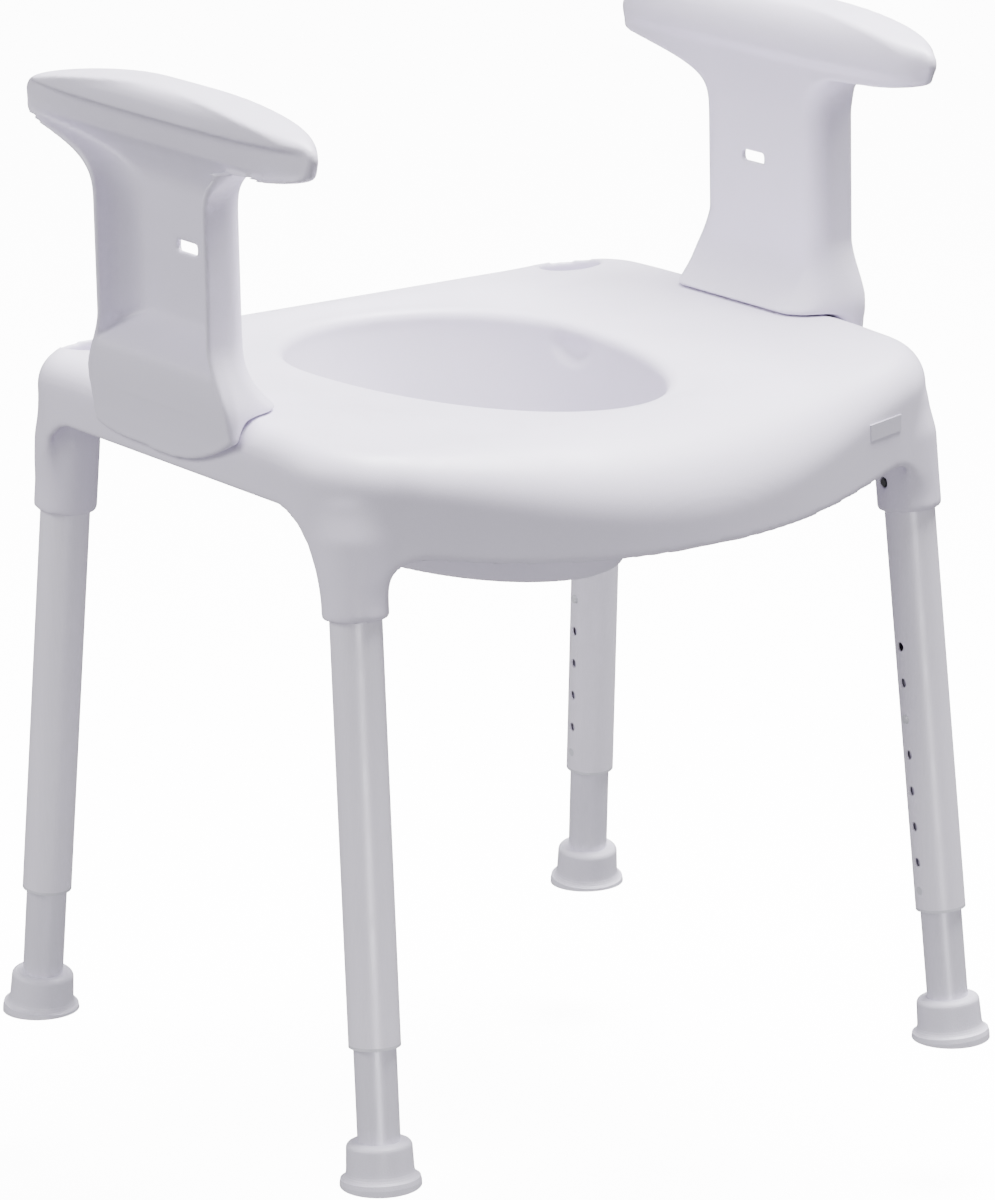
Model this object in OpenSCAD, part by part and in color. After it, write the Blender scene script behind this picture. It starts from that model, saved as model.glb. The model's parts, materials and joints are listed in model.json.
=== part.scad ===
// Free-standing bathroom seat with a hygiene opening, lift-off arm supports and
// four telescopic legs. +X is the sitter's left, the front faces -Y, +Z is up,
// and the origin is on the floor at the middle of the four feet.

/* [Seat] */
// Height of the rim of the opening above the floor, legs on their fifth hole
seat_z = 470; // [468:1:474]
// Half of the seat's width at its skirt
seat_half_w = 247; // [245:1:250]
// Distance from the centre to the front edge beside the corners
seat_front = 212; // [208:1:216]
// Distance from the centre to the rear edge
seat_rear = 207; // [204:1:210]
// Corner radius of the seat in plan
corner_r = 65; // [60:1:70]
// How far the front apron bulges forward at its middle
front_bulge = 52; // [40:1:60]
// How far the sides of the seat rise above the rim of the opening
side_rise = 10; // [9:1:11]
// Wall thickness of the moulded shell
shell_wall = 4; // [3:0.5:5]
// How far the rear edge stands above the rim of the opening
rear_rise = 5; // [4:1:7]
// How far the front edge stands above the rim of the opening
front_rise = 1; // [0:1:3]

/* [Opening] */
// Half of the width of the opening
opening_half_w = 105; // [95:1:110]
// Y of the opening's widest point
opening_mid_y = 40; // [30:1:50]
// Length of the opening in front of its widest point
opening_front = 210; // [190:1:212]
// Length of the opening behind its widest point
opening_rear = 115; // [105:1:120]
// Height of the lower edge of the splash collar
collar_z = 342; // [335:1:360]

/* [Arm supports] */
// Height of the top of the arm pad
arm_top_z = 691; // [680:1:700]
// X of the inner face of the arm support's post
arm_inner_x = 224.5; // [222:0.5:227]
// X of the outer edges of the arm support's post
arm_outer_x = 258; // [256:0.5:260]
// Y of the middle of the arm support
arm_mid_y = -8; // [-12:1:-4]
// Width of the post from front to rear
post_w = 138; // [130:1:146]
// Wall thickness of the post round its outer channel
post_wall = 4; // [3:0.5:5]
// Length and height of the slot through the post
slot_size = [24, 7]; // [6:1:30]

/* [Legs] */
// X of the middle of a foot
foot_x = 232.3; // [228:0.1:236]
// Y of the middle of a foot
foot_y = 214.8; // [210:0.1:219]
// Lean of every leg towards the middle, seen from the front
lean_side = 1.75; // [1:0.05:2.5]
// Lean of the front legs, seen from the side
lean_front = 4.6; // [4:0.1:5]
// Lean of the rear legs, seen from the side
lean_rear = 6.4; // [6:0.1:7]
// Outer radius of the upper tube
outer_tube_r = 17; // [16.5:0.1:17.5]
// Wall of the upper tube
outer_tube_wall = 1.4; // [1.2:0.1:1.6]
// Outer radius of the lower tube
inner_tube_r = 14; // [13.5:0.1:14.2]
// Wall of the lower tube
inner_tube_wall = 1.5; // [1.2:0.1:2]
// Distance between two height holes
hole_pitch = 25; // [20:1:25]
// Number of height holes in an upper tube
hole_count = 7; // [5:1:7]
// Hole in use, counted from the lowest one as 0
hole_in_use = 4; // [2:1:4]
// Radius of a height button
button_r = 3.2; // [2.8:0.1:3.6]

/* [Feet] */
// Radius of a rubber foot at the floor
foot_r = 26; // [24:0.5:28]
// Radius of a rubber foot at its collar
foot_collar_r = 21.5; // [20:0.5:23]
// Height of a rubber foot along its leg
foot_h = 29; // [26:1:32]

/* [Hidden] */
SIDES = ["front_left", "front_right", "rear_left", "rear_right"];
$fn = 48;

// Numbers of points round the seat and round an arch of its profile
ring_n = 96;
arch_n = 5;
// Ray angles round the seat, crowded together towards the four corners
crowding = 8.5;
ring_angles = [
    for (i = [0:ring_n - 1])
    let (u = i * 360 / ring_n)
    u + crowding * sin(4 * u + 20)
];

// Seat edge: inset and height of its rounding at the sides, and what the front adds
edge_in = 22;
edge_h = 24;
front_edge_in = 56;
front_edge_h = 34;
rim_r = 9;
skirt_z = 436;
apron_z = 394;
socket_z = 369.5;
socket_r = 21.5;
socket_straight = 430;
socket_taper = 14;
collar_low_w = 82;
collar_low_y = [-118, 112];

// Sockets for a back rest, at the rear corners
back_socket_x = 196;
back_socket_y = 171;
back_socket_r = 21;
back_socket_floor_z = 446;

// Distances along a leg's axis, measured from the floor
foot_floor = 7;
outer_tube_low = 93.5;
outer_tube_high = 428;
lowest_hole = 126.5;
button_at = lowest_hole + hole_pitch * hole_in_use;
inner_tube_high = button_at + 36;
leg_lock_at = 390;
bush_high = 118;
bush_nub_at = 106.5;
button_hole_clearance = 0.06;
bush_clearance = 0.06;

peg_size = [7, 70];
peg_low_z = 452;

eps = 0.01;

// Y of the middle of the feet: the front apron reaches further than the rear feet
feet_mid_y = 11.4;

function clamp(v, low, high) = min(max(v, low), high);
function smooth(f) = f * f * (3 - 2 * f);
function step_up(v, low, high) = smooth(clamp((v - low) / (high - low), 0, 1));
function mix(a, b, f) = a + (b - a) * f;

// ---------- seat outline ----------

// Distance from the centre to a rounded rectangle along the ray at angle t
function ray_to_edge(t, a, b, r) =
    let (
        c = abs(cos(t)),
        s = abs(sin(t)),
        to_side = c > eps ? a / c : a / eps,
        to_end = s > eps ? b / s : b / eps,
        d = (a - r) * c + (b - r) * s
    )
    to_side * s <= b - r ? to_side
    : to_end * c <= a - r ? to_end
    : d + sqrt(d * d - (a - r) * (a - r) - (b - r) * (b - r) + r * r);

function bulge(x) = front_bulge * pow(max(0, 1 - (x / 205) * (x / 205)), 1.5);

// Point of the seat's outline at ray angle t, moved in by inset
function seat_edge(t, inset) =
    let (
        b = (sin(t) < 0 ? seat_front : seat_rear) - inset,
        rho = ray_to_edge(t, seat_half_w - inset, b, max(corner_r - inset, 4)),
        x = rho * cos(t)
    )
    [x, rho * sin(t) - (sin(t) < 0 ? bulge(x) : 0)];

function frontness(t) = sin(t) < 0 ? bulge(seat_edge(t, 0)[0]) / front_bulge : 0;

// Top height just inside the rounded edge: a plateau at the sides, lower front and rear
function edge_top(t) =
    seat_z + mix(sin(t) > 0 ? rear_rise : front_rise, side_rise, step_up(abs(cos(t)), 0.62, 0.94));

function egg(t, half_w, mid, front, rear, grow) = [
    (half_w + grow) * cos(t),
    mid + ((sin(t) < 0 ? front : rear) + grow) * sin(t)
];

function opening_edge(t, grow) = egg(t, opening_half_w, opening_mid_y, opening_front, opening_rear, grow);

function collar_low(t, grow) =
    let (mid = opening_mid_y * 0.6)
    egg(t, collar_low_w, mid, mid - collar_low_y[0], collar_low_y[1] - mid, grow);

// Collar point at height z, moved out by grow
function collar_at(t, z, grow) =
    let (
        f = (seat_z - rim_r - z) / (seat_z - rim_r - collar_z),
        p = mix(opening_edge(t, grow), collar_low(t, grow), pow(f, 1.15))
    )
    [p[0], p[1], z];

// Leg axis at height z in the quarter that ray t points to
function leg_axis(sx, sy, z) = [
    sx * (foot_x - z * tan(lean_side)),
    sy * (foot_y - z * tan(sy < 0 ? lean_front : lean_rear)),
    z
];

// Lower edge of the skirt at ray angle t: it dips to the leg sockets
function skirt_low(t) =
    let (
        p = seat_edge(t, 0),
        leg = leg_axis(cos(t) < 0 ? -1 : 1, sin(t) < 0 ? -1 : 1, 400),
        away = norm([p[0] - leg[0], p[1] - leg[1]]),
        base = sin(t) < 0
            ? mix(skirt_z, apron_z + 12 * pow(abs(p[0]) / 185, 3), step_up(-p[1], 150, 205))
            : skirt_z
    )
    mix(socket_z + 6, base, sqrt(1 - pow(1 - clamp((away - 21) / 30, 0, 1), 2)));

function edge_point(t, phi) =
    let (
        w = frontness(t),
        inset = (edge_in + front_edge_in * w) * (1 - sin(phi)),
        drop = (edge_h + front_edge_h * w) * (1 - cos(phi)),
        p = seat_edge(t, inset)
    )
    [p[0], p[1], edge_top(t) - drop];

function edge_low_z(t) = edge_top(t) - edge_h - front_edge_h * frontness(t);

function skirt_point(t, f, inset) =
    let (p = seat_edge(t, inset + 3 * f * frontness(t)))
    [p[0], p[1], mix(edge_low_z(t), skirt_low(t), f)];

// Share of the rise reached at share f of the way from the rim to the edge
function dish(f) = smooth(min(1, f / 0.75));

function top_point(t, f) =
    let (
        a = opening_edge(t, rim_r),
        e = edge_point(t, 0),
        p = mix(a, [e[0], e[1]], f)
    )
    [p[0], p[1], mix(seat_z, e[2], dish(f))];

function rim_point(t, phi) =
    let (p = opening_edge(t, rim_r * (1 - sin(phi))))
    [p[0], p[1], seat_z - rim_r * (1 - cos(phi))];

function under_point(t, f) =
    let (
        inner = opening_edge(t, shell_wall + 1),
        outer = seat_edge(t, shell_wall + edge_in + front_edge_in * frontness(t)),
        p = mix(outer, inner, f)
    )
    [p[0], p[1], mix(edge_top(t), seat_z, 1 - dish(1 - f)) - shell_wall - 2 * f];

function under_edge(t, phi) =
    let (
        w = frontness(t),
        inset = shell_wall + (edge_in + front_edge_in * w - 2) * (1 - sin(phi)),
        drop = (edge_h + front_edge_h * w) * (1 - cos(phi)),
        p = seat_edge(t, inset)
    )
    [p[0], p[1], edge_top(t) - shell_wall - drop];

function low_z(f) = mix(collar_z, seat_z - rim_r, f);

function seat_profile(t) = concat(
    [for (f = [0, 0.15, 0.4, 0.7]) collar_at(t, low_z(f), 0)],
    [for (k = [3:-1:0]) rim_point(t, k * 30)],
    [for (f = [0.2, 0.4, 0.6, 0.78]) top_point(t, f)],
    [for (k = [0:arch_n]) edge_point(t, k * 90 / arch_n)],
    [for (f = [0.5, 1]) skirt_point(t, f, 0)],
    [for (f = [1, 0.5]) skirt_point(t, f, shell_wall)],
    [for (k = [3:-1:1]) under_edge(t, k * 30)],
    [for (f = [0, 0.5, 1]) under_point(t, f)],
    [for (f = [0.9, 0.6, 0.3, 0]) collar_at(t, low_z(f), shell_wall)]
);

// A ring of profiles joined into one closed skin
module skin_round(rows) {
    n = len(rows);
    m = len(rows[0]);
    polyhedron(
        points = [for (row = rows) each row],
        faces = [
            for (i = [0:n - 1])
            for (j = [0:m - 1])
            let (
                i2 = (i + 1) % n,
                j2 = (j + 1) % m,
                a = i * m + j,
                b = i2 * m + j,
                c = i2 * m + j2,
                d = i * m + j2
            )
            each [[a, b, c], [a, c, d]]
        ]
    );
}

// ---------- legs ----------

// Puts its children in the frame of one leg: Z along the leg, from the floor up
module leg_frame(sx, sy) {
    lean = sy < 0 ? lean_front : lean_rear;
    d = [-sx * tan(lean_side), -sy * tan(lean), 1];
    u = d / norm(d);
    translate([sx * foot_x, sy * foot_y + feet_mid_y, 0])
        rotate([-asin(u[1]), atan2(u[0], u[2]), 0])
            children();
}

// A cylinder that points from the leg's axis to the inner side of the leg
module inward_pin(sx, from, to, at, r) {
    translate([0, 0, at])
        rotate([0, -sx * 90, 0])
            translate([0, 0, from])
                cylinder(h = to - from, r = r);
}

module tube(low, high, r, wall) {
    difference() {
        translate([0, 0, low])
            cylinder(h = high - low, r = r);
        translate([0, 0, low - 1])
            cylinder(h = high - low + 2, r = r - wall);
    }
}

module outer_tube(sx, sy) {
    color([0.86, 0.86, 0.9])
    leg_frame(sx, sy)
    difference() {
        tube(outer_tube_low, outer_tube_high, outer_tube_r, outer_tube_wall);
        for (k = [0:hole_count - 1])
            inward_pin(sx, 5, 25, lowest_hole + k * hole_pitch, button_r + button_hole_clearance);
        inward_pin(sx, 5, 25, leg_lock_at, button_r + button_hole_clearance);
        inward_pin(sx, 5, 25, bush_nub_at, 3);
    }
}

module inner_tube(sx, sy) {
    color([0.7, 0.7, 0.75])
    leg_frame(sx, sy)
    difference() {
        tube(foot_floor, inner_tube_high, inner_tube_r, inner_tube_wall);
        inward_pin(sx, 5, 25, button_at, button_r + button_hole_clearance);
    }
}

module guide_bush(sx, sy) {
    color([0.75, 0.75, 0.8])
    leg_frame(sx, sy)
    difference() {
        union() {
            translate([0, 0, outer_tube_low])
                cylinder(h = bush_high - outer_tube_low, r = outer_tube_r - outer_tube_wall);
            translate([0, 0, outer_tube_low - 2])
                cylinder(h = 2, r = outer_tube_r);
            inward_pin(sx, 14.5, 16.8, bush_nub_at, 3);
        }
        translate([0, 0, outer_tube_low - 3])
            cylinder(h = bush_high, r = inner_tube_r + bush_clearance);
    }
}

// A snap button: a pin with a domed tip and a wider head inside the tube
module snap_button(sx, at, head, tip, head_r) {
    inward_pin(sx, head + 1.5, tip - 1, at, button_r);
    inward_pin(sx, head, head + 1.6, at, head_r);
    inward_pin(sx, tip - 1.1, tip, at, button_r - 0.6);
}

module height_button(sx, sy) {
    color([0.9, 0.9, 0.92])
    leg_frame(sx, sy)
        snap_button(sx, button_at, 9.5, 18.4, 4.6);
}

module leg_lock_button(sx, sy) {
    color([0.35, 0.35, 0.38])
    leg_frame(sx, sy)
        snap_button(sx, leg_lock_at, 10.5, 20.4, 4.6);
}

// The hairpin leaf spring behind a button, with its bend low in the tube
module hairpin(sx, at, reach, back) {
    leaf = 0.8;
    width = 9;
    long = 34;
    bend_r = (reach - back) / 2;
    low = at - long + bend_r;
    rotate([0, 0, sx < 0 ? 0 : 180]) {
        translate([reach - leaf, -width / 2, low])
            cube([leaf, width, at + 6 - low]);
        translate([back, -width / 2, low])
            cube([leaf, width, at + 12 - low]);
        translate([(reach + back) / 2, width / 2, low])
            rotate([90, 0, 0])
                linear_extrude(width)
                    difference() {
                        circle(bend_r);
                        circle(bend_r - leaf);
                        translate([-bend_r - 1, 0])
                            square([2 * bend_r + 2, bend_r + 1]);
                    }
    }
}

module height_spring(sx, sy) {
    color([0.6, 0.6, 0.62])
    leg_frame(sx, sy)
        hairpin(sx, button_at, 9.4, -11.5);
}

module leg_lock_spring(sx, sy) {
    color([0.6, 0.6, 0.62])
    leg_frame(sx, sy)
        hairpin(sx, leg_lock_at, 10.4, -14.6);
}

module rubber_foot(sx, sy) {
    flare = 5;
    shoulder = 4;
    collar_low_s = 11;
    color([0.68, 0.68, 0.7])
    intersection() {
        leg_frame(sx, sy)
        rotate_extrude($fn = 96)
            polygon(concat(
                [[0, -8], [foot_r + 0.6, -8], [foot_r + 0.6, 2], [foot_r, 5]],
                [for (k = [0:5]) let (a = k * 18) [
                    foot_collar_r + 0.6 + (foot_r - foot_collar_r - 0.6) * (1 - sin(a)),
                    5 + (collar_low_s - 5) * (1 - cos(a))
                ]],
                [for (k = [0:5]) let (a = k * 18) [
                    foot_collar_r - shoulder * (1 - cos(a)),
                    foot_h - shoulder + shoulder * sin(a)
                ]],
                [[inner_tube_r, foot_h], [inner_tube_r, foot_floor], [0, foot_floor]]
            ));
        translate([-400, -400, 0])
            cube([800, 800, 80]);
    }
}

// ---------- seat ----------

module leg_socket(sx, sy) {
    leg_frame(sx, sy) {
        translate([0, 0, socket_z])
            cylinder(h = socket_straight - socket_z, r = socket_r);
        translate([0, 0, socket_straight])
            cylinder(h = socket_taper, r1 = socket_r, r2 = socket_r - socket_taper / 2);
    }
}

// What a leg takes out of the seat: its tube's bore and the hole of its lock button
module leg_bore(sx, sy) {
    leg_frame(sx, sy) {
        translate([0, 0, socket_z - 1])
            cylinder(h = outer_tube_high - socket_z + 1, r = outer_tube_r);
        inward_pin(sx, 10, 30, leg_lock_at, button_r + 0.4);
    }
}

module peg_slot(sx) {
    translate([sx * (arm_inner_x + 6) - peg_size[0] / 2 - 0.5, arm_mid_y - peg_size[1] / 2 - 0.5, peg_low_z - 1])
        cube([peg_size[0] + 1, peg_size[1] + 1, 60]);
}

module seat() {
    color([0.92, 0.91, 0.94])
    difference() {
        union() {
            translate([0, feet_mid_y, 0]) {
                difference() {
                    skin_round([for (t = ring_angles) seat_profile(t)]);
                    for (sx = [-1, 1])
                        translate([sx * back_socket_x, back_socket_y, back_socket_floor_z])
                            cylinder(h = 60, r = back_socket_r + 2.4);
                    for (sx = [-1, 1])
                        peg_slot(sx);
                }
                for (sx = [-1, 1])
                    back_socket(sx);
            }
            for (sx = [-1, 1])
            for (sy = [-1, 1])
                leg_socket(sx, sy);
        }
        for (sx = [-1, 1])
        for (sy = [-1, 1])
            leg_bore(sx, sy);
    }
}

// A round pocket for a back rest's leg, hung from the seat's top
module back_socket(sx) {
    lip = 3;
    top = edge_top(atan2(back_socket_y, back_socket_x));
    translate([sx * back_socket_x, back_socket_y, 0])
        rotate_extrude($fn = 96)
            polygon([
                [0, back_socket_floor_z - 3],
                [back_socket_r + 3, back_socket_floor_z - 3],
                [back_socket_r + 3, top - 1],
                [back_socket_r + lip, top + 0.6],
                [back_socket_r, top - 0.4],
                [back_socket_r, back_socket_floor_z],
                [0, back_socket_floor_z]
            ]);
}

module maker_plate() {
    plate = [36, 11];
    thick = 1.4;
    sunk = 0.5;
    x = 174;
    z = 436.5;
    turn = 19;
    color([0.85, 0.85, 0.88])
        translate([x, feet_mid_y - seat_front - bulge(x), z])
            rotate([90, 0, turn])
                translate([0, 0, -sunk])
                    linear_extrude(thick)
                        square(plate, center = true);
}

// ---------- arm supports ----------

seat_side_z = edge_top(0);
saddle_gap = 0.7;
slot_z = 578;
foot_inner_x = 200;
foot_top_z = seat_side_z + 0.4;

// X of the seat's rounded edge at height z, with a little room
function seat_side_x(z) =
    let (up = clamp((z - saddle_gap - (seat_side_z - edge_h)) / edge_h, 0, 1))
    seat_half_w - edge_in + edge_in * sqrt(1 - up * up) + saddle_gap;

function inner_x(z) =
    z < foot_top_z ? max(seat_side_x(z), foot_inner_x + 20)
    : z < 520 ? arm_inner_x - (arm_inner_x - foot_inner_x) * pow(1 - (z - foot_top_z) / (520 - foot_top_z), 2.2)
    : z < 648 ? arm_inner_x
    : z < 660 ? mix(arm_inner_x, 219, step_up(z, 648, 657))
    : mix(219, 241, 1 - sqrt(1 - pow(clamp((z - 660) / (arm_top_z + 2 - 660), 0, 1), 2)));

function outer_x(z) =
    z < 505 ? mix(seat_half_w + 4.5, arm_outer_x, step_up(z, 445, 505))
    : z < 640 ? arm_outer_x
    : z < 676 ? mix(arm_outer_x, 265, step_up(z, 640, 670))
    : mix(265, 249, 1 - sqrt(1 - pow(clamp((z - 676) / (arm_top_z + 2 - 676), 0, 1), 2)));

// How far the saddle over the seat's edge reaches to the front and to the rear
saddle_half = 86;
tongue_z = 444;
function saddle_front(z) = saddle_half * sqrt(clamp((z - tongue_z) / 24, 0.02, 1));
function saddle_rear(z) = saddle_half * sqrt(1 - pow(1 - clamp((z - tongue_z) / 9, 0.02, 1), 2));

function post_half(z) = mix(saddle_half, post_w / 2, step_up(z, 482, 530));

neck = 24;
function front_y(z) =
    z < 482 ? arm_mid_y - saddle_front(z)
    : z < 606 ? arm_mid_y - post_half(z)
    : z < 643 ? arm_mid_y - post_w / 2 - neck * pow((z - 606) / 37, 3.5)
    : z < 654 ? mix(arm_mid_y - post_w / 2 - neck, -182, sqrt(1 - pow(1 - (z - 643) / 11, 2)))
    : z < 662 ? mix(-182, -186, (z - 654) / 8)
    : -186 + 128 * pow(clamp((z - 662) / (arm_top_z - 662), 0, 1), 3);

rear_neck = 95;
function rear_y(z) =
    z < 482 ? arm_mid_y + saddle_rear(z)
    : z < 590 ? arm_mid_y + post_half(z)
    : z < 644 ? arm_mid_y + post_w / 2 + rear_neck * pow((z - 590) / 54, 5)
    : z < 658 ? mix(arm_mid_y + post_w / 2 + rear_neck, 164, sqrt(1 - pow(1 - (z - 644) / 14, 2)))
    : 164 - 160 * pow(clamp((z - 658) / (arm_top_z - 658), 0, 1), 2.4);

// Narrows the saddle towards the sitter and tapers the pad towards its two tips
pad_x = 242.3;
pad_mid_y = -11;
pad_half = 176;
slant_front = 16;
slant_rear = 23;
function shaped(p, z) =
    let (
        inward = 1 - clamp((p[0] - foot_inner_x) / 48, 0, 1),
        low = 1 - step_up(z, 492, 530),
        side = clamp((p[1] - arm_mid_y) / 60, -1, 1),
        taper = sqrt(max(0.12, 1 - pow(abs(p[1] - pad_mid_y) / pad_half, 3.2)))
    )
    [
        mix(p[0], pad_x + (p[0] - pad_x) * taper, step_up(z, 630, 656)),
        p[1] - inward * low * side * (side < 0 ? slant_front : slant_rear)
    ];

// The channel's back, which ends in a groove under the pad's outer edge
groove = 7;
function recess_x(z) =
    let (
        deep = (arm_outer_x - arm_inner_x - post_wall) * step_up(z, 506, 532) * (1 - step_up(z, 612, 672)),
        under_pad = groove * step_up(z, 545, 560) * (1 - step_up(z, 661, 667))
    )
    outer_x(z) - max(deep, under_pad);

// Closed outline of the right arm support at height z, counter-clockwise from above
function arm_outline(z) =
    let (
        xi = inner_x(z),
        xo = outer_x(z),
        yf = front_y(z),
        yr = rear_y(z),
        thick = xo - xi,
        on_pad = step_up(z, 620, 655),
        rf = min(mix(16, 22, on_pad), thick * 0.49),
        rr = min(mix(mix(10, 30, step_up(z, 500, 540)), 22, on_pad), thick * mix(0.85, 0.49, on_pad)),
        ro = min(mix(1.5, 22, on_pad), thick * 0.49, max(thick - max(rf, rr) - 0.8, thick * 0.12)),
        xr = recess_x(z)
    )
    [for (p = concat(
        [for (f = [0:0.25:1]) [xi, mix(yr - rr, yf + rf, f)]],
        [for (a = [198:18:270]) [xi + rf + rf * cos(a), yf + rf + rf * sin(a)]],
        [for (a = [270:22.5:360]) [xo - ro + ro * cos(a), yf + ro + ro * sin(a)]],
        [for (k = [0:4])
            let (a = 252 - 18 * k, r = max(rf - post_wall, 0.5))
            [clamp(xi + rf + r * cos(a), xr, xo), max(yf + rf + r * sin(a), yf + ro + 0.3 * (k + 1))]],
        [for (f = [1 / 6:1 / 6:0.9]) [xr, mix(yf + max(rf, ro + 1.5), yr - max(rr, ro + 1.5), f)]],
        [for (k = [4:-1:0])
            let (a = 108 + 18 * k, r = max(rr - post_wall, 0.5))
            [clamp(xi + rr + r * cos(a), xr, xo), min(yr - rr + r * sin(a), yr - ro - 0.3 * (k + 1))]],
        [for (a = [0:22.5:90]) [xo - ro + ro * cos(a), yr - ro + ro * sin(a)]],
        [for (a = [90:18:162]) [xi + rr + rr * cos(a), yr - rr + rr * sin(a)]]
    )) shaped(p, z)];

arm_heights = concat(
    [444.4, 445.5, 448, 452, 456, 460, 464, 468, 472, 476],
    [478.2, foot_top_z - 0.3, foot_top_z, foot_top_z + 1.5, 484, 488, 493, 500, 508, 517, 526, 535, 546],
    [570, 590, 605, 615, 624, 629, 633, 637, 640, 642, 644, 646, 648, 650, 653, 657, 661, 664, 667, 672],
    [676, 679, 682, 685, 687.5, 689.5, arm_top_z]
);

// Closed outlines stacked into one solid, with a flat cap at either end
module stack_up(rows) {
    n = len(rows);
    m = len(rows[0]);
    polyhedron(
        points = [for (row = rows) each row],
        faces = concat(
            [[for (j = [0:m - 1]) j]],
            [[for (j = [m - 1:-1:0]) (n - 1) * m + j]],
            [
                for (i = [0:n - 2])
                for (j = [0:m - 1])
                let (
                    j2 = (j + 1) % m,
                    a = i * m + j,
                    b = i * m + j2,
                    c = (i + 1) * m + j2,
                    d = (i + 1) * m + j
                )
                each [[a, c, b], [a, d, c]]
            ]
        )
    );
}

module arm_support(sx) {
    color([0.88, 0.88, 0.91])
    translate([0, feet_mid_y, 0])
    mirror([sx < 0 ? 1 : 0, 0, 0])
    difference() {
        union() {
            stack_up([for (z = arm_heights) [for (p = arm_outline(z)) [p[0], p[1], z]]]);
            translate([arm_inner_x + 6 - peg_size[0] / 2, arm_mid_y - peg_size[1] / 2, peg_low_z])
                cube([peg_size[0], peg_size[1], foot_top_z + 6 - peg_low_z]);
        }
        translate([arm_inner_x - 10, arm_mid_y - slot_size[0] / 2, slot_z - slot_size[1] / 2])
            cube([24, slot_size[0], slot_size[1]]);
    }
}

seat();
maker_plate();
arm_support(-1);  // arm_support_left
arm_support(1);  // arm_support_right
outer_tube(-1, -1);  // outer_tube_front_left
outer_tube(1, -1);  // outer_tube_front_right
outer_tube(-1, 1);  // outer_tube_rear_left
outer_tube(1, 1);  // outer_tube_rear_right
leg_lock_button(-1, -1);  // leg_lock_button_front_left
leg_lock_button(1, -1);  // leg_lock_button_front_right
leg_lock_button(-1, 1);  // leg_lock_button_rear_left
leg_lock_button(1, 1);  // leg_lock_button_rear_right
guide_bush(-1, -1);  // guide_bush_front_left
guide_bush(1, -1);  // guide_bush_front_right
guide_bush(-1, 1);  // guide_bush_rear_left
guide_bush(1, 1);  // guide_bush_rear_right
inner_tube(-1, -1);  // inner_tube_front_left
inner_tube(1, -1);  // inner_tube_front_right
inner_tube(-1, 1);  // inner_tube_rear_left
inner_tube(1, 1);  // inner_tube_rear_right
height_button(-1, -1);  // height_button_front_left
height_button(1, -1);  // height_button_front_right
height_button(-1, 1);  // height_button_rear_left
height_button(1, 1);  // height_button_rear_right
height_spring(-1, -1);  // height_spring_front_left
height_spring(1, -1);  // height_spring_front_right
height_spring(-1, 1);  // height_spring_rear_left
height_spring(1, 1);  // height_spring_rear_right
rubber_foot(-1, -1);  // rubber_foot_front_left
rubber_foot(1, -1);  // rubber_foot_front_right
rubber_foot(-1, 1);  // rubber_foot_rear_left
rubber_foot(1, 1);  // rubber_foot_rear_right
leg_lock_spring(-1, -1);  // leg_lock_spring_front_left
leg_lock_spring(1, -1);  // leg_lock_spring_front_right
leg_lock_spring(-1, 1);  // leg_lock_spring_rear_left
leg_lock_spring(1, 1);  // leg_lock_spring_rear_right
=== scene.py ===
import bpy
import json
import math
import numpy as np
from mathutils import Matrix, Vector


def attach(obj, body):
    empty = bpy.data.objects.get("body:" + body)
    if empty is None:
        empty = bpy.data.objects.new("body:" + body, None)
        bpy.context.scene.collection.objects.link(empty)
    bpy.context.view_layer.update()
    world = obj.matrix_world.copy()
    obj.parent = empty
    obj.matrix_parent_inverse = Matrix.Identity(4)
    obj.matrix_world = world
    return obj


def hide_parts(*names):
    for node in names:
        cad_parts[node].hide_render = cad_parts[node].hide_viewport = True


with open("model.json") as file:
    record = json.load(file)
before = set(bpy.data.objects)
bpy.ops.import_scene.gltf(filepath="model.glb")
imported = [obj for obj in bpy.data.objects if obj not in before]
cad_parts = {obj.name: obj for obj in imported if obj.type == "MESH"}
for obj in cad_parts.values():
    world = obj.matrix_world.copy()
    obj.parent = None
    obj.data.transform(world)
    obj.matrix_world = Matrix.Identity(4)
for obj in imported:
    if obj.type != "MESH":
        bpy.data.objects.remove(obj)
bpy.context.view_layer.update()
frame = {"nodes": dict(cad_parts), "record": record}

MM = 0.001
FEET_MID_Y = 11.4          # the shapes below are worked out in mm round the seat's own middle


# ---------- small maths on arrays ----------

def smooth(f):
    return f * f * (3 - 2 * f)


def step_up(v, low, high):
    return smooth(np.clip((v - low) / (high - low), 0, 1))


def mix(a, b, f):
    return a + (b - a) * f


def round_max(a, b, r):
    """Both a < 0 and b < 0, with the edge between them rounded to radius r."""
    corner = np.sqrt(np.maximum(a + r, 0) ** 2 + np.maximum(b + r, 0) ** 2)
    return np.minimum(np.maximum(a, b), -r) + corner


def blend_min(a, b, k):
    """Either a < 0 or b < 0, with a fillet of about k where they meet."""
    h = np.clip(0.5 + 0.5 * (b - a) / k, 0, 1)
    return mix(b, a, h) - k * h * (1 - h)


def to_distance(field, step, steepest=1e9):
    """Turns an implicit field into a distance near its zero level; steepest keeps a jump from counting."""
    gx, gy, gz = np.gradient(field, step)
    size = np.sqrt(gx * gx + gy * gy + gz * gz)
    return field / np.clip(size, 0.7, steepest)


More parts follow.
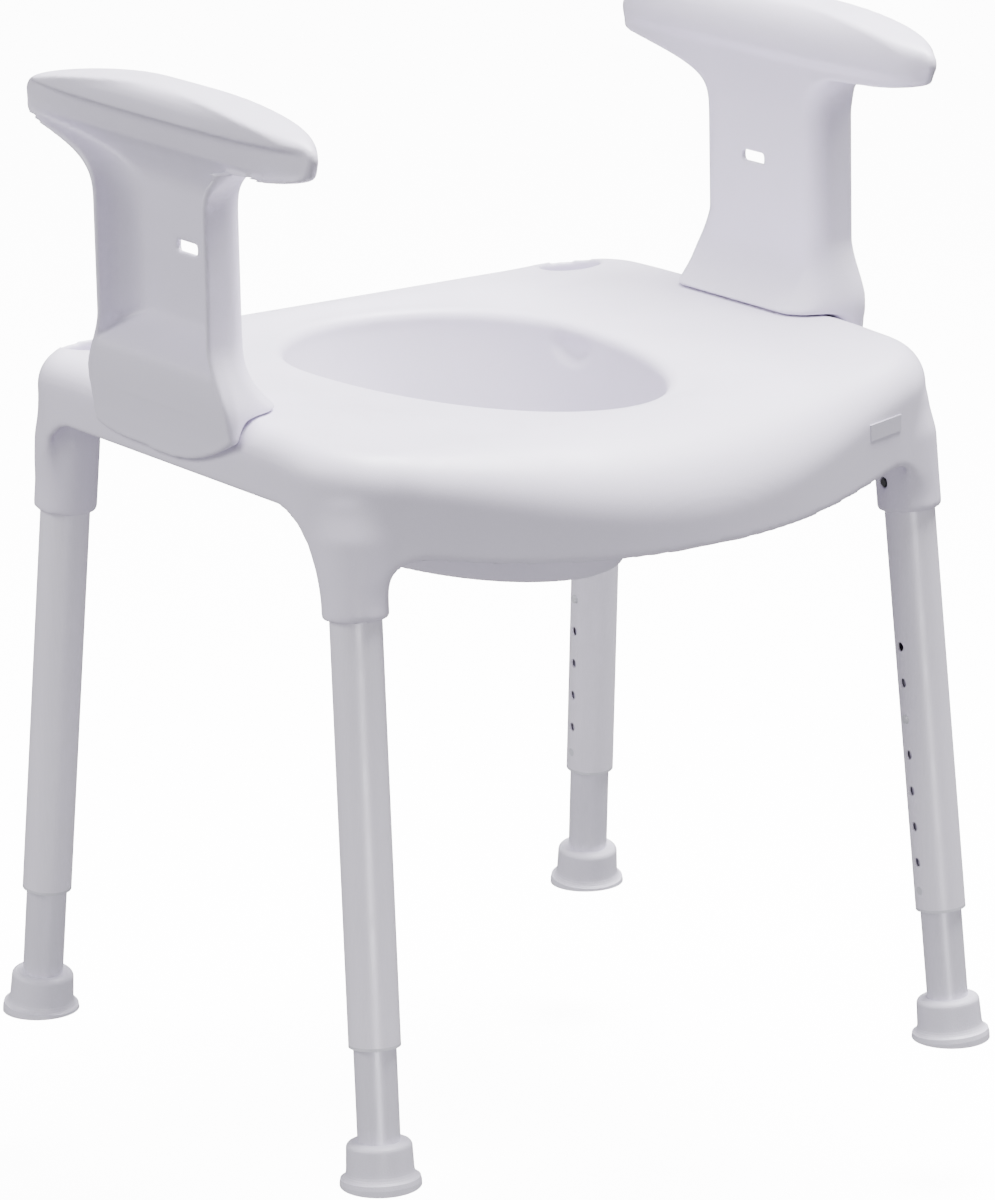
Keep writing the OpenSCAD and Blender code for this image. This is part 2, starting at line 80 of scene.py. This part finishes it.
def soften(field, sigma, step):
    """Gaussian blur of a field along its three axes."""
    n = int(math.ceil(2.5 * sigma / step))
    w = np.exp(-0.5 * (np.arange(-n, n + 1) * step / sigma) ** 2)
    w /= w.sum()
    for axis in range(3):
        out = np.zeros_like(field)
        for k, share in zip(range(-n, n + 1), w):
            moved = np.roll(field, k, axis)
            edge = [slice(None)] * 3
            if k > 0:
                edge[axis] = slice(0, k)
                keep = [slice(None)] * 3
                keep[axis] = slice(0, 1)
            elif k < 0:
                edge[axis] = slice(k, None)
                keep = [slice(None)] * 3
                keep[axis] = slice(-1, None)
            if k:
                moved[tuple(edge)] = field[tuple(keep)]
            out += share * moved
        field = out
    return field


# ---------- a field's zero level as a quad mesh ----------

def skin(field, origin, step):
    """Surface net of the zero level of field, which is negative inside."""
    inside = field < 0
    shape = np.array(field.shape)
    count = np.zeros(shape - 1, np.int8)
    for i in (0, 1):
        for j in (0, 1):
            for k in (0, 1):
                count += inside[i:shape[0] - 1 + i, j:shape[1] - 1 + j, k:shape[2] - 1 + k]
    active = (count > 0) & (count < 8)
    cells = np.argwhere(active)
    index = np.full(active.shape, -1, np.int64)
    index[active] = np.arange(len(cells))
    total = np.zeros((len(cells), 3))
    hits = np.zeros(len(cells))
    for axis in range(3):
        others = [a for a in range(3) if a != axis]
        for b in (0, 1):
            for c in (0, 1):
                offset = np.zeros(3, int)
                offset[others[0]], offset[others[1]] = b, c
                end = offset.copy()
                end[axis] = 1
                va = field[tuple((cells + offset).T)]
                vb = field[tuple((cells + end).T)]
                cross = (va < 0) != (vb < 0)
                t = va[cross] / (va[cross] - vb[cross])
                place = np.tile(offset.astype(float), (cross.sum(), 1))
                place[:, axis] = t
                total[cross] += place
                hits[cross] += 1
    points = np.array(origin) + step * (cells + total / hits[:, None])
    quads = []
    for axis in range(3):
        others = [a for a in range(3) if a != axis]
        low = [slice(None)] * 3
        high = [slice(None)] * 3
        low[axis], high[axis] = slice(0, -1), slice(1, None)
        a, b = inside[tuple(low)], inside[tuple(high)]
        change = a != b
        for o in others:
            rim = [slice(None)] * 3
            rim[o] = 0
            change[tuple(rim)] = False
            rim[o] = -1
            change[tuple(rim)] = False
        at = np.argwhere(change)
        d1 = np.zeros(3, int)
        d2 = np.zeros(3, int)
        d1[others[0]] = 1
        d2[others[1]] = 1
        ring = [index[tuple((at - s).T)] for s in (d1 + d2, d2, 0 * d1, d1)]
        quad = np.stack(ring, 1)
        outward = a[tuple(at.T)]
        if axis == 1:
            outward = ~outward
        quad[~outward] = quad[~outward][:, ::-1]
        quads.append(quad)
    quads = np.concatenate(quads)
    quads = quads[(quads >= 0).all(1)]
    return points, quads


def relax(points, quads, rounds, share=0.5):
    """Laplacian smoothing that pushes back (Taubin), so nothing shrinks."""
    e = np.concatenate([quads[:, [0, 1]], quads[:, [1, 2]], quads[:, [2, 3]], quads[:, [3, 0]]])
    n = len(points)
    degree = np.maximum(np.bincount(e[:, 0], minlength=n) + np.bincount(e[:, 1], minlength=n), 1)
    for k in range(2 * rounds):
        mean = np.zeros_like(points)
        for c in range(3):
            mean[:, c] = (np.bincount(e[:, 0], points[e[:, 1], c], n)
                          + np.bincount(e[:, 1], points[e[:, 0], c], n)) / degree
        points = points + (share if k % 2 == 0 else -share * 1.04) * (mean - points)
    return points


def to_object(name, points, quads, shift_y=FEET_MID_Y):
    mesh = bpy.data.meshes.new(name)
    co = (points + np.array([0, shift_y, 0])) * MM
    mesh.vertices.add(len(co))
    mesh.vertices.foreach_set("co", co.astype(np.float32).ravel())
    mesh.loops.add(quads.size)
    mesh.loops.foreach_set("vertex_index", quads.astype(np.int32).ravel())
    mesh.polygons.add(len(quads))
    mesh.polygons.foreach_set("loop_start", np.arange(0, quads.size, 4, dtype=np.int32))
    mesh.polygons.foreach_set("use_smooth", np.ones(len(quads), bool))
    mesh.update(calc_edges=True)
    mesh.validate()
    obj = bpy.data.objects.new(name, mesh)
    bpy.context.scene.collection.objects.link(obj)
    return obj


# ---------- sizes, in mm, as in the CAD ----------

SEAT_Z, HALF_W, FRONT, REAR, CORNER_R = 470.0, 247.0, 212.0, 207.0, 65.0
BULGE, SIDE_RISE, REAR_RISE, FRONT_RISE, WALL = 52.0, 10.0, 5.0, 1.0, 4.0
EDGE_IN, EDGE_H, FRONT_IN, FRONT_H, RIM_R = 22.0, 24.0, 56.0, 34.0, 9.0
SKIRT_Z, APRON_Z, SOCKET_Z, SOCKET_R, SOCKET_TOP = 436.0, 394.0, 369.5, 21.5, 444.0
COLLAR_Z = 342.0
FOOT_X, FOOT_Y, LEAN_SIDE, LEAN_FRONT, LEAN_REAR = 232.3, 214.8, 1.75, 4.6, 6.4
TUBE_R, TUBE_TOP, LOCK_AT, LOCK_R = 17.0, 428.0, 390.0, 3.6
POCKET = (196.0, 171.0, 21.0, 446.0)
ARM_TOP, ARM_IN, ARM_OUT, ARM_Y, POST_W = 691.0, 224.5, 258.0, -8.0, 138.0
SLOT_L, SLOT_H, SLOT_Z = 24.0, 7.0, 578.0
FOOT_IN, PAD_X, PAD_MID_Y, PAD_HALF = 200.0, 242.3, -11.0, 176.0
SADDLE_HALF, NECK, REAR_NECK, GROOVE = 86.0, 24.0, 95.0, 10.0
SLANT_FRONT, SLANT_REAR = 16.0, 23.0
SADDLE_TOP = 480.4
SCOOP_Y, SCOOP_Z, SCOOP_DEEP = 38.0, 457.0, 4.5    # finger scoop in either side of the collar


def bulge(x):
    return BULGE * np.maximum(0, 1 - (x / 205) ** 2) ** 1.5


def leg_line(sx, sy):
    """The floor point and direction of a leg's axis."""
    lean = LEAN_FRONT if sy < 0 else LEAN_REAR
    d = Vector((-sx * math.tan(math.radians(LEAN_SIDE)), -sy * math.tan(math.radians(lean)), 1)).normalized()
    return Vector((sx * FOOT_X, sy * FOOT_Y, 0)), d


def along_leg(X, Y, Z, sx, sy):
    """Distance along a leg's axis from the floor, and away from the axis."""
    foot, d = leg_line(sx, sy)
    rx, ry, rz = X - foot.x, Y - foot.y, Z - foot.z
    s = rx * d.x + ry * d.y + rz * d.z
    away = np.sqrt(np.maximum(rx * rx + ry * ry + rz * rz - s * s, 0))
    return s, away


# ---------- seat ----------

def seat_field(X, Y, Z):
    front = step_up(-Y, 40, 150)
    yy = Y + bulge(X) * front
    mid, half = (REAR - FRONT) / 2, (REAR + FRONT) / 2
    q = np.abs(X) - (HALF_W - CORNER_R)
    p = np.abs(yy - mid) - (half - CORNER_R)
    edge = np.sqrt(np.maximum(q, 0) ** 2 + np.maximum(p, 0) ** 2) + np.minimum(np.maximum(q, p), 0) - CORNER_R
    frontness = bulge(X) / BULGE * step_up(-Y, 60, 150)
    inset = EDGE_IN + FRONT_IN * frontness
    drop = EDGE_H + FRONT_H * frontness

    # opening and collar
    f = np.clip((SEAT_Z - RIM_R - Z) / (SEAT_Z - RIM_R - COLLAR_Z), 0, 1.1) ** 1.15
    half_w = mix(105, 82, f)
    mid_y = mix(40, 24, f)
    length = np.where(Y < mid_y, mix(210, 142, f), mix(115, 88, f))
    ex, ey = X / half_w, (Y - mid_y) / length
    e = np.sqrt(ex * ex + ey * ey) + 1e-6
    collar = (e - 1) * e / np.sqrt((ex / half_w) ** 2 + (ey / length) ** 2 + 1e-12)
    scoop = np.sqrt(((Y - SCOOP_Y) / 25) ** 2 + ((Z - SCOOP_Z) / 17) ** 2)
    below_rim = 1 - step_up(Z, 453, 463)
    collar = collar - SCOOP_DEEP * (1 - step_up(scoop, 0.5, 1.05)) * below_rim * step_up(X, 50, 70)

    # top
    length0 = np.where(Y < 40, 210, 115)
    ex0, ey0 = X / 105, (Y - 40) / length0
    e0 = np.sqrt(ex0 * ex0 + ey0 * ey0) + 1e-6
    from_rim = np.maximum((e0 - 1) * e0 / np.sqrt((ex0 / 105) ** 2 + (ey0 / length0) ** 2 + 1e-12) - RIM_R, 0)
    to_edge = np.maximum(-edge - inset, 0)
    dish = smooth(np.minimum(1, from_rim / (from_rim + to_edge + 1e-6) / 0.75))
    cosine = np.abs(X) / np.sqrt(X * X + yy * yy + 1e-6)
    rear = step_up(Y, -20, 20)
    rise = mix(mix(FRONT_RISE, REAR_RISE, rear), SIDE_RISE, step_up(cosine, 0.62, 0.94))
    top = SEAT_Z + rise * dish

    u = np.maximum(0, 1 + edge / inset)
    v = np.maximum(0, (Z - top + drop) / drop)
    r = np.sqrt(u * u + v * v)
    slope = np.sqrt((u / inset) ** 2 + (v / drop) ** 2 + 1e-9)
    scale = np.where(r > 0.05, r / slope, np.minimum(inset, drop))
    body = round_max((r - 1) * scale, -collar, RIM_R)
    shell = np.maximum(body, -(body + WALL))

    # lower edge
    fx = FOOT_X - 400 * math.tan(math.radians(LEAN_SIDE))
    leg_y = np.where(Y < 0, -(FOOT_Y - 400 * math.tan(math.radians(LEAN_FRONT))),
                     FOOT_Y - 400 * math.tan(math.radians(LEAN_REAR)))
    away = np.sqrt((np.abs(X) - fx) ** 2 + (Y - leg_y) ** 2)
    base = mix(SKIRT_Z, APRON_Z + 12 * (np.abs(X) / 185) ** 3, step_up(-Y, 150, 205))
    reach = np.clip((away - 19) / 34, 0, 1)
    low = mix(SOCKET_Z + 6, base, np.sqrt(1 - (1 - reach) ** 2))
    near_collar = collar < 9
    cut = np.where(near_collar, COLLAR_Z - Z, low - Z)
    return shell, cut


def build_seat(step):
    xs = np.arange(0, 262, step)
    ys = np.arange(-278, 220, step)
    zs = np.arange(334, 492, step)
    X, Y, Z = np.meshgrid(xs, ys, zs, indexing="ij", sparse=True)
    shell, cut = seat_field(X, Y, Z)
    shell = to_distance(shell, step)
    cut = to_distance(cut, step, 2)
    solid = round_max(shell, cut, 1.2)
    for sy in (-1, 1):
        s, away = along_leg(X, Y, Z, 1, sy)
        radius = SOCKET_R - 7 * step_up(s, 418, SOCKET_TOP + 4)
        socket = round_max(round_max(away - radius, SOCKET_Z - s, 1.5), s - SOCKET_TOP, 1.5)
        solid = blend_min(solid, socket, 10)
    px, py, pr, pz = POCKET
    away = np.sqrt((X - px) ** 2 + (Y - py) ** 2)
    cup = round_max(away - pr - 3, np.maximum(pz - 3 - Z, Z - 474), 1)
    solid = blend_min(solid, cup, 3)
    solid = np.clip(solid, -6, 6)
    for sy in (-1, 1):
        s, away = along_leg(X, Y, Z, 1, sy)
        solid = round_max(solid, -np.maximum(np.maximum(away - TUBE_R - 0.1, s - TUBE_TOP), -s), 0.8)
        foot, d = leg_line(1, sy)
        c = foot + d * LOCK_AT
        rx, ry, rz = X - c.x, Y - c.y, Z - c.z
        side = Vector((1, 0, 0)) - d * d.x
        side.normalize()
        a = rx * side.x + ry * side.y + rz * side.z
        off = np.sqrt(np.maximum(rx * rx + ry * ry + rz * rz - a * a, 0))
        solid = np.maximum(solid, -np.maximum(off - LOCK_R - 0.3, a + 10))
    away = np.sqrt((X - px) ** 2 + (Y - py) ** 2)
    solid = round_max(solid, -np.maximum(away - pr, pz - Z), 1.8)
    peg = np.maximum(np.maximum(np.abs(X - ARM_IN - 6) - 4, np.abs(Y - ARM_Y) - 35.5), 451 - Z)
    solid = np.maximum(solid, -peg)
    solid = np.concatenate([solid[:0:-1], solid], 0)
    solid = soften(np.clip(solid, -4, 4), 0.55 * step, step)
    points, quads = skin(solid, (-xs[-1], ys[0], zs[0]), step)
    return relax(points, quads, 7), quads


# ---------- arm supports ----------

def arm_shape(z):
    """Inner x, outer x, front y and rear y of an arm support at height z, and how much of it is pad."""
    up = np.clip((z - 0.7 - (SEAT_Z + SIDE_RISE - EDGE_H)) / EDGE_H, 0, 1)
    on_edge = HALF_W - EDGE_IN + EDGE_IN * np.sqrt(1 - up * up) + 0.7
    inner = np.where(z < SADDLE_TOP, np.maximum(on_edge, 220),
            np.where(z < 520, ARM_IN - 24.5 * np.clip(1 - (z - SADDLE_TOP) / (520 - SADDLE_TOP), 0, 1) ** 2.2,
            np.where(z < 660, mix(ARM_IN, 219, step_up(z, 648, 657)),
                     mix(219, 241, 1 - np.sqrt(1 - np.clip((z - 660) / 33, 0, 1) ** 2)))))
    outer = np.where(z < 505, mix(HALF_W + 4.5, ARM_OUT, step_up(z, 445, 505)),
            np.where(z < 676, mix(ARM_OUT, 265, step_up(z, 640, 670)),
                     mix(265, 249, 1 - np.sqrt(1 - np.clip((z - 676) / 17, 0, 1) ** 2))))
    saddle_front = SADDLE_HALF * np.sqrt(np.clip((z - 444) / 24, 0.02, 1))
    saddle_rear = SADDLE_HALF * np.sqrt(1 - (1 - np.clip((z - 444) / 9, 0.02, 1)) ** 2)
    post = mix(SADDLE_HALF, POST_W / 2, step_up(z, 482, 530))
    front = np.where(z < 482, ARM_Y - saddle_front, np.where(z < 606, ARM_Y - post,
            np.where(z < 643, ARM_Y - POST_W / 2 - NECK * np.clip((z - 606) / 37, 0, 1) ** 3.5,
            np.where(z < 654, mix(ARM_Y - POST_W / 2 - NECK, -182,
                                  np.sqrt(1 - (1 - np.clip((z - 643) / 11, 0, 1)) ** 2)),
            np.where(z < 662, mix(-182, -186, np.clip((z - 654) / 8, 0, 1)),
                     -186 + 128 * np.clip((z - 662) / (ARM_TOP - 662), 0, 1.05) ** 3)))))
    rear = np.where(z < 482, ARM_Y + saddle_rear, np.where(z < 590, ARM_Y + post,
           np.where(z < 644, ARM_Y + POST_W / 2 + REAR_NECK * np.clip((z - 590) / 54, 0, 1) ** 5,
           np.where(z < 658, mix(ARM_Y + POST_W / 2 + REAR_NECK, 164,
                                 np.sqrt(1 - (1 - np.clip((z - 644) / 14, 0, 1)) ** 2)),
                    164 - 160 * np.clip((z - 658) / (ARM_TOP - 658), 0, 1.05) ** 2.4))))
    return inner, outer, front, rear, step_up(z, 620, 655)


def unshaped(X, Y, Z):
    """Undoes the pad's taper towards its tips and the saddle's narrowing towards the sitter."""
    taper = np.sqrt(np.maximum(0.12, 1 - (np.abs(Y - PAD_MID_Y) / PAD_HALF) ** 3.2))
    x = PAD_X + (X - PAD_X) / mix(1, taper, step_up(Z, 630, 656))
    side = np.clip((Y - ARM_Y) / 45, -1, 1)
    inward = (1 - np.clip((X - FOOT_IN) / 48, 0, 1)) * (1 - step_up(Z, 492, 530))
    return x, Y + inward * side * np.where(side < 0, SLANT_FRONT, SLANT_REAR)


def build_arm(sx, step):
    xs = np.arange(192, 274, step)
    ys = np.arange(-196, 176, step)
    zs = np.arange(438, 700, step)
    X, Y, Z = np.meshgrid(xs, ys, zs, indexing="ij", sparse=True)
    inner, outer, front, rear, pad = arm_shape(Z)
    x, y = unshaped(X, Y, Z)
    thick = outer - inner
    rf = np.minimum(mix(16, 22, pad), thick * 0.49)
    rr = np.minimum(mix(mix(10, 30, step_up(Z, 500, 540)), 22, pad), thick * mix(0.85, 0.49, pad))
    ro = np.minimum(mix(1.5, 22, pad), thick * 0.49)
    core = np.maximum(round_max(inner - x, front - y, rf), round_max(inner - x, y - rear, rr))
    core = to_distance(core, step)
    body = np.maximum(round_max(x - outer, front - y, ro), round_max(x - outer, y - rear, ro))
    body = np.maximum(core, to_distance(body, step))
    body = round_max(body, Z - ARM_TOP, 4)
    body = round_max(body, 444.4 - Z, 1)
    deep = (ARM_OUT - ARM_IN - WALL) * step_up(Z, 506, 532) * (1 - step_up(Z, 612, 672))
    under_pad = GROOVE * step_up(Z, 545, 560) * (1 - step_up(Z, 667, 671))
    back = outer - np.maximum(deep, under_pad)
    hollow = round_max(core + WALL, to_distance(back - x, step), 2)
    body = round_max(body, -hollow, 1.2)
    slot = np.maximum(np.abs(Y - ARM_Y) - SLOT_L / 2, np.abs(Z - SLOT_Z) - SLOT_H / 2)
    slot = np.maximum(slot, X - 240)
    body = np.maximum(body, -slot)
    peg = np.maximum(np.maximum(np.abs(X - ARM_IN - 6) - 3.5, np.abs(Y - ARM_Y) - 35), np.abs(Z - 469) - 17)
    body = np.minimum(body, round_max(peg, peg, 0.1))
    body = soften(np.clip(body, -4, 4), 1.0, step)
    points, quads = skin(body, (xs[0], ys[0], zs[0]), step)
    points = relax(points, quads, 7)
    if sx < 0:
        points = points * np.array([-1, 1, 1])
        quads = quads[:, ::-1]
    return points, quads


# ---------- materials ----------

def material(name, color, rough, metal=0.0, grain=1500.0, bump=0.02, blotch=0.03, streaks=False, coat=0.0):
    m = bpy.data.materials.new(name)
    m.use_nodes = True
    nt = m.node_tree
    nodes, link = nt.nodes, nt.links.new
    shader = nodes["Principled BSDF"]
    shader.inputs["Metallic"].default_value = metal
    shader.inputs["Coat Weight"].default_value = coat
    shader.inputs["Coat Roughness"].default_value = 0.25
    coord = nodes.new("ShaderNodeTexCoord")
    where = coord.outputs["Object"]
    stretch = nodes.new("ShaderNodeMapping")
    stretch.inputs["Scale"].default_value = (1, 1, 0.02) if streaks else (1, 1, 1)
    link(where, stretch.inputs["Vector"])

    def noise(scale, detail, source):
        n = nodes.new("ShaderNodeTexNoise")
        n.inputs["Scale"].default_value = scale
        n.inputs["Detail"].default_value = detail
        link(source, n.inputs["Vector"])
        return n.outputs["Fac"]

    def spread(value, low, high, start=0.3, end=0.7):
        r = nodes.new("ShaderNodeMapRange")
        r.inputs["From Min"].default_value = start
        r.inputs["From Max"].default_value = end
        r.inputs["To Min"].default_value = low
        r.inputs["To Max"].default_value = high
        link(value, r.inputs["Value"])
        return r.outputs["Result"]

    cloud = noise(14, 3, where)
    fine = noise(grain, 2, stretch.outputs["Vector"])
    shade = nodes.new("ShaderNodeMix")
    shade.data_type = "RGBA"
    dark = [c * (1 - blotch) for c in color]
    shade.inputs["A"].default_value = (*dark, 1)
    shade.inputs["B"].default_value = (*color, 1)
    link(spread(cloud, 0, 1), shade.inputs["Factor"])
    tint = nodes.new("ShaderNodeMix")
    tint.data_type = "RGBA"
    tint.blend_type = "MULTIPLY"
    tint.inputs["Factor"].default_value = 0.35
    link(shade.outputs["Result"], tint.inputs["A"])
    grey = nodes.new("ShaderNodeCombineColor")
    level = spread(fine, 0.9, 1.0)
    for k in ("Red", "Green", "Blue"):
        link(level, grey.inputs[k])
    link(grey.outputs["Color"], tint.inputs["B"])
    link(tint.outputs["Result"], shader.inputs["Base Color"])
    link(spread(noise(60, 4, where), rough - 0.05, rough + 0.06), shader.inputs["Roughness"])
    b = nodes.new("ShaderNodeBump")
    b.inputs["Strength"].default_value = bump
    b.inputs["Distance"].default_value = 0.0004
    link(fine, b.inputs["Height"])
    link(b.outputs["Normal"], shader.inputs["Normal"])
    return m


MATS = {
    "seat_plastic": material("seat_plastic", (0.81, 0.765, 0.90), 0.42, grain=1300, bump=0.12),
    "arm_plastic": material("arm_plastic", (0.79, 0.75, 0.88), 0.40, grain=1300, bump=0.12),
    "plate": material("plate", (0.68, 0.65, 0.75), 0.35),
    "outer_tube": material("outer_tube", (0.90, 0.86, 0.97), 0.38, metal=0.15,
                           grain=900, bump=0.10, streaks=True),
    "inner_tube": material("inner_tube", (0.82, 0.79, 0.90), 0.36, metal=0.3,
                           grain=900, bump=0.15, streaks=True),
    "guide_bush": material("guide_bush", (0.66, 0.65, 0.72), 0.45),
    "height_button": material("height_button", (0.66, 0.66, 0.70), 0.3),
    "leg_lock_button": material("leg_lock_button", (0.03, 0.03, 0.035), 0.4),
    "spring_steel": material("spring_steel", (0.5, 0.5, 0.52), 0.3, metal=0.9, streaks=True),
    "rubber": material("rubber", (0.76, 0.73, 0.84), 0.40, grain=900, bump=0.3, blotch=0.08),
}


def paint(obj, slot):
    obj.data.materials.clear()
    obj.data.materials.append(MATS[slot])


slots = {s["node"]: s["material_slot"] for s in frame["record"]["subparts"]}
for name, obj in frame["nodes"].items():
    if obj.data.materials:
        for i in range(len(obj.data.materials)):
            obj.data.materials[i] = MATS[slots[name]]
    else:
        obj.data.materials.append(MATS[slots[name]])

# ---------- pieces ----------

SEAT_STEP, ARM_STEP = 2.0, 1.5          # grid steps in mm
points, quads = build_seat(SEAT_STEP)
seat = to_object("seat_shell", points, quads)
paint(seat, "seat_plastic")
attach(seat, "stool")
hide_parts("seat")

for side, sx in (("left", -1), ("right", 1)):
    points, quads = build_arm(sx, ARM_STEP)
    arm = to_object("arm_shell_" + side, points, quads)
    paint(arm, "arm_plastic")
    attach(arm, "arm_" + side)
    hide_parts("arm_support_" + side)

# ---------- floor, light, camera ----------

BACKDROP = 12.0            # how bright the floor and the space behind it look to the camera
AMBIENT = 0.52             # soft light from all round


def floor_material():
    m = bpy.data.materials.new("floor")
    m.use_nodes = True
    shader = m.node_tree.nodes["Principled BSDF"]
    shader.inputs["Base Color"].default_value = (0.93, 0.93, 0.94, 1)
    shader.inputs["Roughness"].default_value = 0.8
    shader.inputs["Emission Color"].default_value = (1, 1, 1, 1)
    shader.inputs["Emission Strength"].default_value = BACKDROP
    return m


# The seat stays put when a leg is drawn out, so the floor lies where the feet reach furthest down
leg_joints = [j for j in frame["record"]["behaviour"]["joints"] if j["child"].startswith("lower_leg_")]
FLOOR_Z = -max(j["range_m"][1] for j in leg_joints) - 0.002
FLOOR_HALF = 9.0

mesh = bpy.data.meshes.new("floor")
corners = [(x * FLOOR_HALF, y * FLOOR_HALF, FLOOR_Z) for x, y in ((-1, -1), (1, -1), (1, 1), (-1, 1))]
mesh.from_pydata(corners, [], [(0, 1, 2, 3)])
floor = bpy.data.objects.new("floor", mesh)
bpy.context.scene.collection.objects.link(floor)
floor.data.materials.append(floor_material())
floor.visible_diffuse = False
floor.visible_glossy = False

world = bpy.data.worlds.new("studio")
bpy.context.scene.world = world
world.use_nodes = True
nodes, link = world.node_tree.nodes, world.node_tree.links.new
soft = nodes["Background"]
soft.inputs["Color"].default_value = (0.97, 0.97, 1.0, 1)
soft.inputs["Strength"].default_value = AMBIENT
bright = nodes.new("ShaderNodeBackground")
bright.inputs["Color"].default_value = (1, 1, 1, 1)
bright.inputs["Strength"].default_value = BACKDROP
seen = nodes.new("ShaderNodeLightPath")
either = nodes.new("ShaderNodeMixShader")
link(seen.outputs["Is Camera Ray"], either.inputs["Fac"])
link(soft.outputs["Background"], either.inputs[1])
link(bright.outputs["Background"], either.inputs[2])
link(either.outputs["Shader"], nodes["World Output"].inputs["Surface"])


def area(name, place, target, size, power, spread=180):
    light = bpy.data.lights.new(name, "AREA")
    light.spread = math.radians(spread)
    light.shape = "RECTANGLE"
    light.size, light.size_y = size
    light.energy = power
    obj = bpy.data.objects.new(name, light)
    obj.location = place
    obj.rotation_mode = "QUATERNION"
    obj.rotation_quaternion = (Vector(target) - Vector(place)).to_track_quat("-Z", "Y")
    bpy.context.scene.collection.objects.link(obj)


area("overhead", (0.6, -0.1, 2.8), (0, 0, 0.4), (1.5, 1.5), 310)
area("left_fill", (-2.5, 0.7, 2.0), (0, 0, 0.3), (1.2, 1.2), 58)
area("floor_bounce", (-1.0, -2.5, 0.1), (0, 0, 0.1), (1.2, 0.3), 0.8, spread=22)

YAW, PITCH, ROLL = (math.radians(a) for a in (33.62, 15.48, -1.29))
d = Vector((math.sin(YAW) * math.cos(PITCH), math.cos(YAW) * math.cos(PITCH), -math.sin(PITCH)))
r = Vector((math.cos(YAW), -math.sin(YAW), 0))
u = r.cross(d)
right = r * math.cos(ROLL) + u * math.sin(ROLL)
up = right.cross(d)
camera_data = bpy.data.cameras.new("camera")
camera = bpy.data.objects.new("camera", camera_data)
bpy.context.scene.collection.objects.link(camera)
camera.matrix_world = Matrix((
    (right.x, up.x, -d.x, -2.288),
    (right.y, up.y, -d.y, -3.3846),
    (right.z, up.z, -d.z, 1.4395),
    (0, 0, 0, 1),
))
camera_data.sensor_width = 36
camera_data.lens = 188.73
camera_data.shift_x = 0.0438
camera_data.shift_y = -0.0042
camera_data.clip_end = 50
bpy.context.scene.camera = camera
